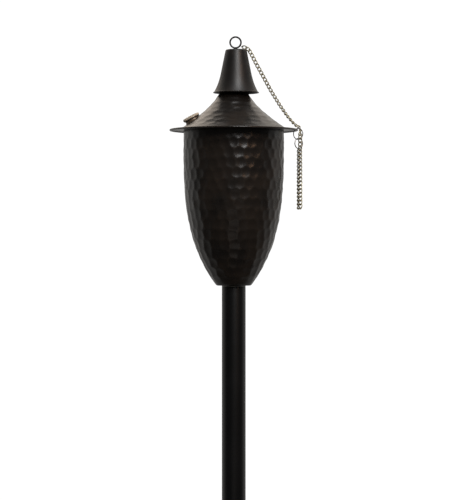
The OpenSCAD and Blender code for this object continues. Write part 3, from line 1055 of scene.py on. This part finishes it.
@dataclass(frozen=True)
class Reservoir:
    """Hammered bowl, cone and brim, with the screw at its foot."""

    rim_z: float
    bowl_r: float = 53.4 * MM
    bowl_h: float = 165.7 * MM
    taper: float = 35 * MM
    power: float = 3.5
    sheet: float = 0.9 * MM
    brim_r: float = 68.5 * MM
    brim_t: float = 0.6 * MM
    bead_r: float = 0.95 * MM
    bead_drop: float = 0.15 * MM
    cone_h: float = 42 * MM
    cone_r: float = 15 * MM
    cone_spread: float = 36.9 * MM
    cone_ref: float = 37.7 * MM
    stud_r: float = 4.95 * MM
    top_sheet: float = 1 * MM
    neck_hole_r: float = 10 * MM
    lap: float = 0.4 * MM
    fillet_x: float = 57.4 * MM
    bowl_marks: Hammering = Hammering(10.7 * MM, 10.0 * MM, 0.56 * MM, 0.14, 11)
    cone_marks: Hammering = Hammering(7.6 * MM, 12.5 * MM, 0.24 * MM, 0.18, 5)
    stand: float = 0.3 * MM

    def bowl_outer(self, depth: np.ndarray) -> np.ndarray:
        """Radius at a depth below the brim: bowl_r less taper times (depth over height) ^ power."""
        return self.bowl_r - self.taper * (depth / self.bowl_h) ** self.power

    def cone_outer(self, drop: np.ndarray) -> np.ndarray:
        """Radius at a drop below the cone's top: cone_r plus spread times (drop over ref) ^ 1.5."""
        return self.cone_r + self.cone_spread * (drop / self.cone_ref) ** 1.5

    def bowl(self) -> Skin:
        """The bowl: a hammered outer wall, a small round foot, and a plain inner wall.

        The hammering fades out towards the brim and the foot by smooth steps.

        Returns:
            The skin.
        """
        columns, rows, inner_rows = 432, 196, 16
        corner = 1.6 * MM
        depth = np.linspace(0, self.bowl_h - corner, rows)
        wall = np.stack([self.bowl_outer(depth), -depth], axis=-1)
        run = np.concatenate([[0], np.cumsum(np.linalg.norm(np.diff(wall, axis=0), axis=1))])
        height, crest = self.bowl_marks.height(run, wall[:, 0], columns)
        fade = smooth_step(run / (13 * MM)) * smooth_step((run[-1] - run) / (12 * MM))
        outer = lowered(wall, columns, (height + self.stand) * fade[:, None])
        foot_r = self.bowl_outer(np.array([self.bowl_h]))[0]
        base = rounded([(wall[-1, 0], wall[-1, 1], 0), (foot_r - 0.3 * MM, -self.bowl_h, 1.3 * MM),
                        (self.stud_r, -self.bowl_h, 0), (self.stud_r, -self.bowl_h + self.sheet, 0)])
        inner_depth = np.linspace(self.bowl_h - self.sheet, 0, inner_rows)
        inner = np.stack([self.bowl_outer(inner_depth) - self.sheet, -inner_depth], axis=-1)
        plain = lowered(np.vstack([base[1:], inner]), columns, np.zeros((1, 1)))
        points = np.vstack([outer, plain])
        relief = np.vstack([crest * fade[:, None], np.full(plain.shape[:2], 0.3)])
        return Skin(points + np.array([0, 0, self.rim_z]), relief, ring=True)

    def top(self) -> Skin:
        """The cone and brim: hammered outside, a rolled bead at the edge, plain underneath.

        The outline runs down the cone, over a fillet and along the brim, round the bead's circle,
        and back under the brim and the cone one sheet below.

        Returns:
            The skin.
        """
        columns, rows = 360, 120
        drop = np.linspace(0, self.cone_h - 2 * MM, rows)
        slope = np.stack([self.cone_outer(drop), self.cone_h - drop], axis=-1)
        bead_x = self.brim_r - self.bead_r
        flat = rounded([(slope[-1, 0], slope[-1, 1], 0), (self.fillet_x, 0.75 * MM, 2.4 * MM),
                        (bead_x - 0.55 * MM, self.brim_t, 0)], 8)[1:]
        turn = np.radians(np.linspace(122, -160, 22))
        bead = np.stack([bead_x + self.bead_r * np.cos(turn),
                         -self.bead_drop + self.bead_r * np.sin(turn)], axis=-1)
        lap_r = self.bowl_r - self.lap
        lap_drop = self.cone_ref * ((lap_r - self.cone_r) / self.cone_spread) ** (2 / 3)
        under_drop = np.linspace(lap_drop, 0, 14)
        under_top = self.cone_h - self.top_sheet
        under = np.stack([self.cone_outer(under_drop), under_top - under_drop], axis=-1)
        rest = np.vstack([[[bead_x - 1.0 * MM, 0]], [[60 * MM, 0]], [[lap_r, 0]], under,
                          [[self.neck_hole_r, under_top]], [[self.neck_hole_r, self.cone_h]]])
        outline = np.vstack([slope, flat, bead, rest])
        run = np.concatenate([[0], np.cumsum(np.linalg.norm(np.diff(slope, axis=0), axis=1))])
        height, crest = self.cone_marks.height(run, slope[:, 0], columns)
        fade = smooth_step(run / (3 * MM)) * smooth_step((run[-1] - run) / (6 * MM))
        lift = np.zeros((len(outline), columns))
        lift[:rows] = height * fade[:, None]
        relief = np.full((len(outline), columns), 0.45)
        relief[:rows] = crest * fade[:, None]
        relief[rows + len(flat):rows + len(flat) + len(bead)] = 0.8
        points = lowered(outline, columns, lift)
        return Skin(points + np.array([0, 0, self.rim_z]), relief, ring=True)

    def build(self) -> None:
        """Builds the reservoir's pieces."""
        make_piece("hammered_bowl", [self.bowl()], "head", HAMMERED, ["reservoir_bowl"], sharp=60)
        make_piece("hammered_top", [self.top()], "head", HAMMERED, ["reservoir_top"], sharp=60)
        washer = turned(socket_outline("head_washer", 5.25 * MM, 0.45 * MM), 96)
        make_piece("bowl_washer", [washer], "washer", WASHER, ["head_washer"])
        low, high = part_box("head_stud")
        make_piece("pole_screw", [threaded(low[2], high[2], self.stud_r, THREAD_PITCH, 0.75 * MM)],
                   "head", ZINC, ["head_stud"])
        low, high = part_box("bowl_socket")
        make_piece("weld_nut", [hex_nut(low[2], high[2], high[0], self.stud_r)], "head", ZINC,
                   ["bowl_socket"])


# ---- Burner ----

@dataclass(frozen=True)
class Burner:
    """Neck, gasket, wick holder and braided wick, under the snuffer."""

    rim_z: float
    neck_r: float = 14.4 * MM
    wick_r: float = 6.3 * MM
    bore_r: float = 6.6 * MM

    def build(self) -> None:
        """Builds the burner's pieces."""
        low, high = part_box("burner_bushing")
        seat = low[2] + 6 * MM
        neck = rounded([
            (9 * MM, low[2], 0), (10 * MM, low[2], 0.2 * MM), (10 * MM, seat, 0),
            (self.neck_r, seat, 0.5 * MM), (self.neck_r, seat + 2.4 * MM, 0.3 * MM),
            (self.neck_r - 0.7 * MM, seat + 3.1 * MM, 0.4 * MM),
            (self.neck_r - 0.7 * MM, high[2] - 3 * MM, 0.4 * MM),
            (self.neck_r, high[2] - 2.4 * MM, 0.3 * MM), (self.neck_r, high[2], 0.7 * MM),
            (9 * MM, high[2], 0.3 * MM),
        ])
        make_piece("burner_neck", [turned(neck, 96)], "head", NECK_PAINTED_SHEEN, ["burner_bushing"])
        ring = turned(socket_outline("burner_gasket", 9 * MM, 0.3 * MM), 96)
        make_piece("burner_seal", [ring], "head", PRESSED, ["burner_gasket"])
        low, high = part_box("wick_holder")
        flange_r, flange = high[0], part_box("burner_gasket")[1][2]
        holder = rounded([
            (self.bore_r, low[2], 0), (8 * MM, low[2], 0.3 * MM), (8 * MM, flange, 0.3 * MM),
            (flange_r, flange, 0.4 * MM), (flange_r, flange + 1.2 * MM, 0.5 * MM),
            (9.2 * MM, flange + 1.8 * MM, 1.2 * MM), (8 * MM, high[2] - 0.8 * MM, 0.6 * MM),
            (7.6 * MM, high[2], 0.3 * MM), (self.bore_r, high[2], 0.2 * MM),
        ])
        make_piece("wick_tube", [turned(holder, 96)], "head", BRASS, ["wick_holder"])
        make_piece("braided_wick", [self.braid()], "wick", WICK, ["wick"], sharp=80)

    def braid(self) -> Skin:
        """The wick: two families of strands that cross over and under each other.

        The radius is the wick's less a hollow that is shallow where the nearer strand's cosine is
        high. The strand on top changes along a checker of the two families.

        Returns:
            The skin.
        """
        low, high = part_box("wick")
        columns, rows, strands = 96, 620, 10
        z = np.linspace(low[2], high[2], rows)[:, None]
        angle = np.arange(columns)[None] * TAU / columns
        lay = TAU / (strands * 3.6 * MM)
        one = strands * (angle + z * lay)
        two = strands * (angle - z * lay)
        over = 0.5 + 0.5 * np.tanh(3 * np.sin((one + two) / 4) * np.sin((one - two) / 4))
        crest = np.abs(np.cos(one / 2)) * over + np.abs(np.cos(two / 2)) * (1 - over)
        end = smooth_step((high[2] - z) / (1.6 * MM)) * smooth_step((z - low[2]) / (1.6 * MM))
        r = (self.wick_r - 0.55 * MM * (1 - crest)) * (0.86 + 0.14 * end)
        points = np.stack([r * np.cos(angle), r * np.sin(angle), z + 0 * angle], axis=-1)
        # The crest is also the relief, which the wick's finish paints darker between the strands as
        # painted shade.
        return Skin(points, crest)


# ---- Filler ----

@dataclass(frozen=True)
class Filler:
    """Filler neck, seal and knurled cap, on an axis that leans out over the brim."""

    rim_z: float
    cap_x: float = -45.4 * MM
    cap_z: float = 13.6 * MM
    tilt: float = 28.0
    cap_r: float = 9.4 * MM
    half_t: float = 1.4 * MM
    neck_r: float = 7.8 * MM
    bore_r: float = 6.1 * MM
    grooves: int = 34

    def leaned(self, skin: Skin) -> Skin:
        """Leans a skin over to the filler's axis and moves it there.

        Args:
            skin: a skin made about the Z axis.

        Returns:
            The skin in its place.
        """
        c, s = math.cos(math.radians(self.tilt)), math.sin(math.radians(self.tilt))
        lean = np.array([[c, 0, -s], [0, 1, 0], [s, 0, c]])
        place = np.array([self.cap_x, 0, self.rim_z + self.cap_z])
        return Skin(skin.points @ lean.T + place, skin.relief, skin.ring)

    def cap(self) -> Skin:
        """The cap: a shallow dish on top, a knurled rim, and a threaded plug below.

        Round the rim the radius falls by a rounded groove at each of the knurl's steps, and the
        plug's radius follows a screw thread.

        Returns:
            The skin.
        """
        columns = self.grooves * 9
        plug_r = self.bore_r - 0.07 * MM
        foot = -self.half_t - 6 * MM
        body = rounded([
            (0, foot, 0), (plug_r - 0.9 * MM, foot, 0), (plug_r, foot + 0.9 * MM, 0),
            (plug_r, -self.half_t, 0), (self.cap_r - 0.2 * MM, -self.half_t, 0.25 * MM),
            (self.cap_r, -self.half_t + 0.4 * MM, 0.3 * MM),
            (self.cap_r, self.half_t - 0.7 * MM, 0.5 * MM),
            (self.cap_r - 0.9 * MM, self.half_t, 0.5 * MM),
            (self.cap_r - 2.4 * MM, self.half_t, 0.6 * MM),
            (self.cap_r - 3.2 * MM, self.half_t - 0.35 * MM, 0.8 * MM),
            (0, self.half_t - 0.2 * MM, 0),
        ], 6)
        plug = np.stack([np.full(40, plug_r), np.linspace(foot + 0.9 * MM, -self.half_t, 40)], -1)
        cut = int(np.argmax((np.abs(body[:, 0] - plug_r) < 1e-9)))
        outline = np.vstack([body[:cut], plug, body[cut + 2:]])
        skin = turned(outline, columns)
        angle = np.arange(columns) * TAU / columns
        r = np.hypot(skin.points[..., 0], skin.points[..., 1])
        z = skin.points[..., 2]
        groove = (0.5 - 0.5 * np.cos(angle * self.grooves)) ** 1.2
        rim = smooth_step((r - self.cap_r + 1.3 * MM) / (1.2 * MM)) * (z > -self.half_t - 1e-6)
        thread = smooth_step(np.abs(np.mod(z / THREAD_PITCH - angle / TAU, 1) - 0.5) * 2)
        below = (z < -self.half_t - 0.3 * MM) * (r > plug_r - 0.5 * MM)
        fall = 0.55 * MM * groove * rim + 0.6 * MM * thread * below
        share = ((r - fall) / r)[..., None]
        points = skin.points * np.concatenate([share, share, np.ones_like(share)], axis=-1)
        # The knurl's grooves and the thread's roots get a low relief, which the brass finish paints
        # darker: painted shade in the grooves.
        relief = 0.75 - 0.75 * groove * rim - 0.5 * thread * below
        return Skin(points, relief, skin.ring)

    def build(self) -> None:
        """Builds the filler's pieces."""
        flare = self.neck_r + 1.1 * MM
        neck = rounded([
            (self.bore_r, -9 * MM, 0), (self.neck_r, -9 * MM, 0), (self.neck_r, -5.6 * MM, 0),
            (flare, -5.2 * MM, 0), (self.neck_r, -3.6 * MM, 1.2 * MM),
            (self.neck_r, -2.2 * MM, 0.3 * MM), (self.bore_r, -2.2 * MM, 0.2 * MM),
        ])
        make_piece("filler_spout", [self.leaned(turned(neck, 96))], "head", NECK_PAINTED_SHEEN, ["filler_neck"])
        seal = rounded([(self.bore_r, -2.2 * MM, 0), (8.6 * MM, -2.2 * MM, 0.25 * MM),
                        (8.6 * MM, -self.half_t, 0.25 * MM), (self.bore_r, -self.half_t, 0)])
        make_piece("filler_seal", [self.leaned(turned(seal, 96))], "cap_gasket", RUBBER,
                   ["filler_gasket"])
        make_piece("knurled_cap", [self.leaned(self.cap())], "filler_cap", CAP, ["filler_cap"])


# ---- Snuffer ----

@dataclass(frozen=True)
class Snuffer:
    """Flared bell with a rolled lip, its upright ring, and the stud that holds it."""

    rim_z: float
    axis_x: float = 2.5 * MM
    mouth_z: float = 39.4 * MM
    top_z: float = 85.7 * MM
    wall: float = 0.8 * MM
    shoulder: float = 2 * MM
    lip: float = 0.3 * MM
    ring_x: float = 1.9 * MM
    ring_z: float = 93.2 * MM
    ring_r: float = 5.8 * MM
    ring_wire: float = 1.85 * MM

    @staticmethod
    def outer(z: np.ndarray) -> np.ndarray:
        """Radius at a height: a straight taper plus a flare that grows as a power below 61 mm."""
        high = z / MM
        return (11.3 + 0.203 * (85 - high) + 3.6 * (np.maximum(0, 61 - high) / 21.6) ** 2.4) * MM

    def bell(self) -> Skin:
        """The bell: top disc, round shoulder, flared wall, lip, and the wall's inside.

        Returns:
            The skin.
        """
        shoulder = self.shoulder
        z = np.linspace(self.top_z - shoulder, self.mouth_z + 1.2 * MM, 90)
        wall = np.stack([self.outer(z), z], axis=-1)
        turn = np.radians(np.linspace(90, 8, 9))
        corner = np.stack([wall[0, 0] - shoulder + shoulder * np.cos(turn),
                           self.top_z - shoulder + shoulder * np.sin(turn)], axis=-1)
        mouth_r = self.outer(np.array([self.mouth_z]))[0]
        lip_r = mouth_r + self.lip
        lip = rounded([(wall[-1, 0], wall[-1, 1], 0), (lip_r, self.mouth_z + 0.9 * MM, 0.3 * MM),
                       (lip_r, self.mouth_z, 0.4 * MM),
                       (mouth_r - self.wall, self.mouth_z, 0.4 * MM)])[1:]
        inner_z = np.linspace(self.mouth_z + 0.6 * MM, self.top_z - shoulder, 40)
        inner = np.stack([self.outer(inner_z) - self.wall, inner_z], axis=-1)
        outline = np.vstack([[[0, self.top_z]], [[4 * MM, self.top_z]], corner, wall, lip, inner,
                             [[wall[0, 0] - shoulder, self.top_z - 1 * MM]],
                             [[0, self.top_z - 1 * MM]]])
        relief = np.full(len(outline), 0.5)
        relief[2 + len(corner) + len(wall):2 + len(corner) + len(wall) + len(lip)] = 0.85
        return turned(outline, 192, (self.axis_x, 0, self.rim_z), relief)

    def build(self) -> None:
        """Builds the snuffer's pieces."""
        make_piece("snuffer_bell", [self.bell()], "snuffer", SATIN, ["snuffer_cap"], sharp=45)
        t = np.arange(128) * TAU / 128
        path = np.stack([self.ring_x + self.ring_r * np.cos(t), 0 * t,
                         self.rim_z + self.ring_z + self.ring_r * np.sin(t)], axis=-1)
        make_piece("lifting_ring", [swept(path, self.ring_wire / 2, 20, True)], "snuffer", WIRE,
                   ["snuffer_ring"])
        low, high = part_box("snuffer_stud")
        seat = self.rim_z + self.top_z
        stud = rounded([
            (0, low[2], 0), (1.45 * MM, low[2], 0.3 * MM), (1.45 * MM, seat - 0.2 * MM, 0),
            (2.3 * MM, seat - 0.1 * MM, 0.1 * MM), (2.3 * MM, seat + 0.6 * MM, 0.5 * MM),
            (1.7 * MM, high[2] - 0.3 * MM, 0.5 * MM), (0, high[2], 0),
        ])
        make_piece("ring_stud", [turned(stud, 48, (self.ring_x, 0, 0))], "snuffer", WIRE,
                   ["snuffer_stud"])
        low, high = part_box("snuffer_nut")
        make_piece("ring_nut", [hex_nut(low[2], high[2], 3.4 * MM, 1.5 * MM, (self.ring_x, 0))],
                   "snuffer", ZINC, ["snuffer_nut"])


# ---- Chain ----

@dataclass(frozen=True)
class Chain:
    """Curb chain from the snuffer's ring to the brim and down, with its plain rings."""

    rim_z: float
    pitch: float = 4.13 * MM
    wire: float = 1.15 * MM
    half_length: float = 2.78 * MM
    half_width: float = 1.66 * MM
    twist: float = 0.85 * MM
    lead_links: int = 28
    run_links: int = 20
    back_links: int = 15
    fold_gap: float = 5.15 * MM
    end_ring: tuple[float, float, float] = (69.2 * MM, 0, -14.3 * MM)
    brim_ring: tuple[float, float, float] = (68.6 * MM, 0, -4.1 * MM)
    lifting_ring: tuple[float, float, float] = (1.9 * MM, 0, 93.2 * MM)
    end_ring_r: float = 5.5 * MM
    brim_ring_r: float = 5.9 * MM
    ring_wire: float = 1 * MM
    top_ring_r: float = 2.4 * MM
    top_ring_wire: float = 0.6 * MM
    top_ring_reach: float = 7.1 * MM
    top_ring_dip: float = 30.0

    def route(self) -> np.ndarray:
        """The route's points, as in the design, from the snuffer's ring to below the fold."""
        return MM * np.array([
            [9.5, 0, 88.5], [12, 0, 88], [15.5, 0, 86.5], [16.5, 0, 85], [20.5, 0, 77.5],
            [24, 0, 70.5], [32.5, 0, 55], [39.5, 0.5, 42], [49, 0.5, 26.5], [57, 1, 15],
            [63, 1.5, 8], [67.5, 2.5, 4], [71, 4, 2.5], [71, 2.5, -1], [71, -0.5, -3.5],
            [70.5, -2.5, -5], [71, -5, -8.5], [70.5, -5, -13], [71, -4.5, -90],
        ])

    def joints(self, first: int, last: int) -> np.ndarray:
        """The points where links meet, at even running lengths along the route.

        Args:
            first: the first link's number from the top.
            last: the last link's number.

        Returns:
            The meeting points, one more than the links.
        """
        points = self.route()
        run = np.concatenate([[0], np.cumsum(np.linalg.norm(np.diff(points, axis=0), axis=1))])
        at = np.arange(first, last + 2) * self.pitch
        return np.stack([np.interp(at, run, points[:, k]) for k in range(3)], axis=-1)

    def link(self, middle: np.ndarray, along: np.ndarray, face: np.ndarray) -> Skin:
        """One curb link.

        Its middle line is (a cos t, b sin t, c sin 2t) along the chain, across it and out of its
        flat, and a circle of the wire's size is carried along that.

        Args:
            middle: the link's centre.
            along: the chain's direction there.
            face: the direction that the link's flat faces.

        Returns:
            The skin.
        """
        along = along / np.linalg.norm(along)
        face = face - (face @ along) * along
        face = face / np.linalg.norm(face)
        across = np.cross(face, along)
        t = np.arange(28) * TAU / 28
        path = (middle + self.half_length * np.cos(t)[:, None] * along
                + self.half_width * np.sin(t)[:, None] * across
                + self.twist * np.sin(2 * t)[:, None] * face)
        return swept(path, self.wire / 2, 8, True)

    def faces(self, count: int, start: float, stop: float) -> np.ndarray:
        """Directions that face the front, turned about Z evenly from start to stop degrees."""
        turn = np.radians(np.linspace(start, stop, count))
        return np.stack([np.sin(turn), -np.cos(turn), 0 * turn], axis=-1)

    def lead(self) -> list[Skin]:
        """The links from the snuffer to the brim.

        Returns:
            One skin a link.
        """
        ends = self.joints(0, self.lead_links - 1)
        mid, along = (ends[1:] + ends[:-1]) / 2, np.diff(ends, axis=0)
        lift = np.array([0, 0, self.rim_z])
        return [self.link(m + lift, a, f)
                for m, a, f in zip(mid, along, self.faces(self.lead_links, -15, 92))]

    def drop(self) -> list[Skin]:
        """The links of both hanging runs, with the one at the fold between them.

        The second run stands a fold's gap away from the first, and rises in even steps to just
        below the end ring.

        Returns:
            One skin a link.
        """
        ends = self.joints(self.lead_links, self.lead_links + self.run_links - 1)
        mid, along = (ends[1:] + ends[:-1]) / 2, np.diff(ends, axis=0)
        lift = np.array([0, 0, self.rim_z])
        links = [self.link(m + lift, a, f)
                 for m, a, f in zip(mid, along, self.faces(self.run_links, 10, -30))]
        across = np.array([-2.2, 4.65, 0]) / math.hypot(2.2, 4.65)
        foot = mid[-1] + self.fold_gap * across
        turn_low = mid[-1] + self.fold_gap / 2 * across - np.array([0, 0, 1.7 * MM])
        links.append(self.link(turn_low + lift, across, np.array([0, 0, -1.0])))
        top = np.array(self.end_ring) - np.array([0, 0, self.end_ring_r + self.half_length - 1 * MM])
        share = np.linspace(0, 1, self.back_links + 1)[:, None]
        back = foot + share * (top - foot)
        links += [self.link(m + lift, top - foot, f)
                  for m, f in zip(back, self.faces(self.back_links + 1, 70, 40))]
        return links

    def build(self) -> None:
        """Builds the chain and its rings."""
        rim = np.array([0, 0, self.rim_z])
        lead = make_piece("lead_chain", self.lead(), "head", CHAIN, ["chain_lead"], rides=False)
        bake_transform(lead)
        make_piece("hanging_chain_runs", self.drop(), "hanging_chain", CHAIN, ["chain_drop"])
        ring_one = wire_loop(rim + np.array(self.brim_ring), self.brim_ring_r, self.ring_wire, -35, 200)
        make_piece("brim_jump_ring", [ring_one], "hanging_chain", NICKEL, ["brim_ring"])
        ring_two = wire_loop(rim + np.array(self.end_ring), self.end_ring_r, self.ring_wire, 40, 20)
        make_piece("end_jump_ring", [ring_two], "hanging_chain", NICKEL, ["chain_end_ring"])
        dip = math.radians(self.top_ring_dip)
        out = np.array([math.cos(dip), 0, -math.sin(dip)])
        centre = rim + np.array(self.lifting_ring) + self.top_ring_reach * out
        t = np.linspace(0.02, TAU - 0.02, 49)
        circle = np.cos(t)[:, None] * out + np.sin(t)[:, None] * np.array([0, 1, 0])
        ring_three = swept(centre + self.top_ring_r * circle, self.top_ring_wire / 2, 12, False)
        make_piece("top_jump_ring", [ring_three], "snuffer", NICKEL, ["chain_top_ring"])


def main() -> None:
    """Builds the studio, then the torch from the ground up."""
    logging.basicConfig(level=logging.INFO, format="%(name)s %(message)s")
    rim_z = float(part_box("reservoir_bowl")[1][2])
    studio = Studio(rim_z=rim_z, foot_z=float(CAD_BOX[0][2]))
    studio.camera()
    studio.light()
    studio.floor()
    Stake().build()
    Pole().build()
    Reservoir(rim_z).build()
    Burner(rim_z).build()
    Filler(rim_z).build()
    Snuffer(rim_z).build()
    Chain(rim_z).build()


if __name__ == "__main__":
    main()
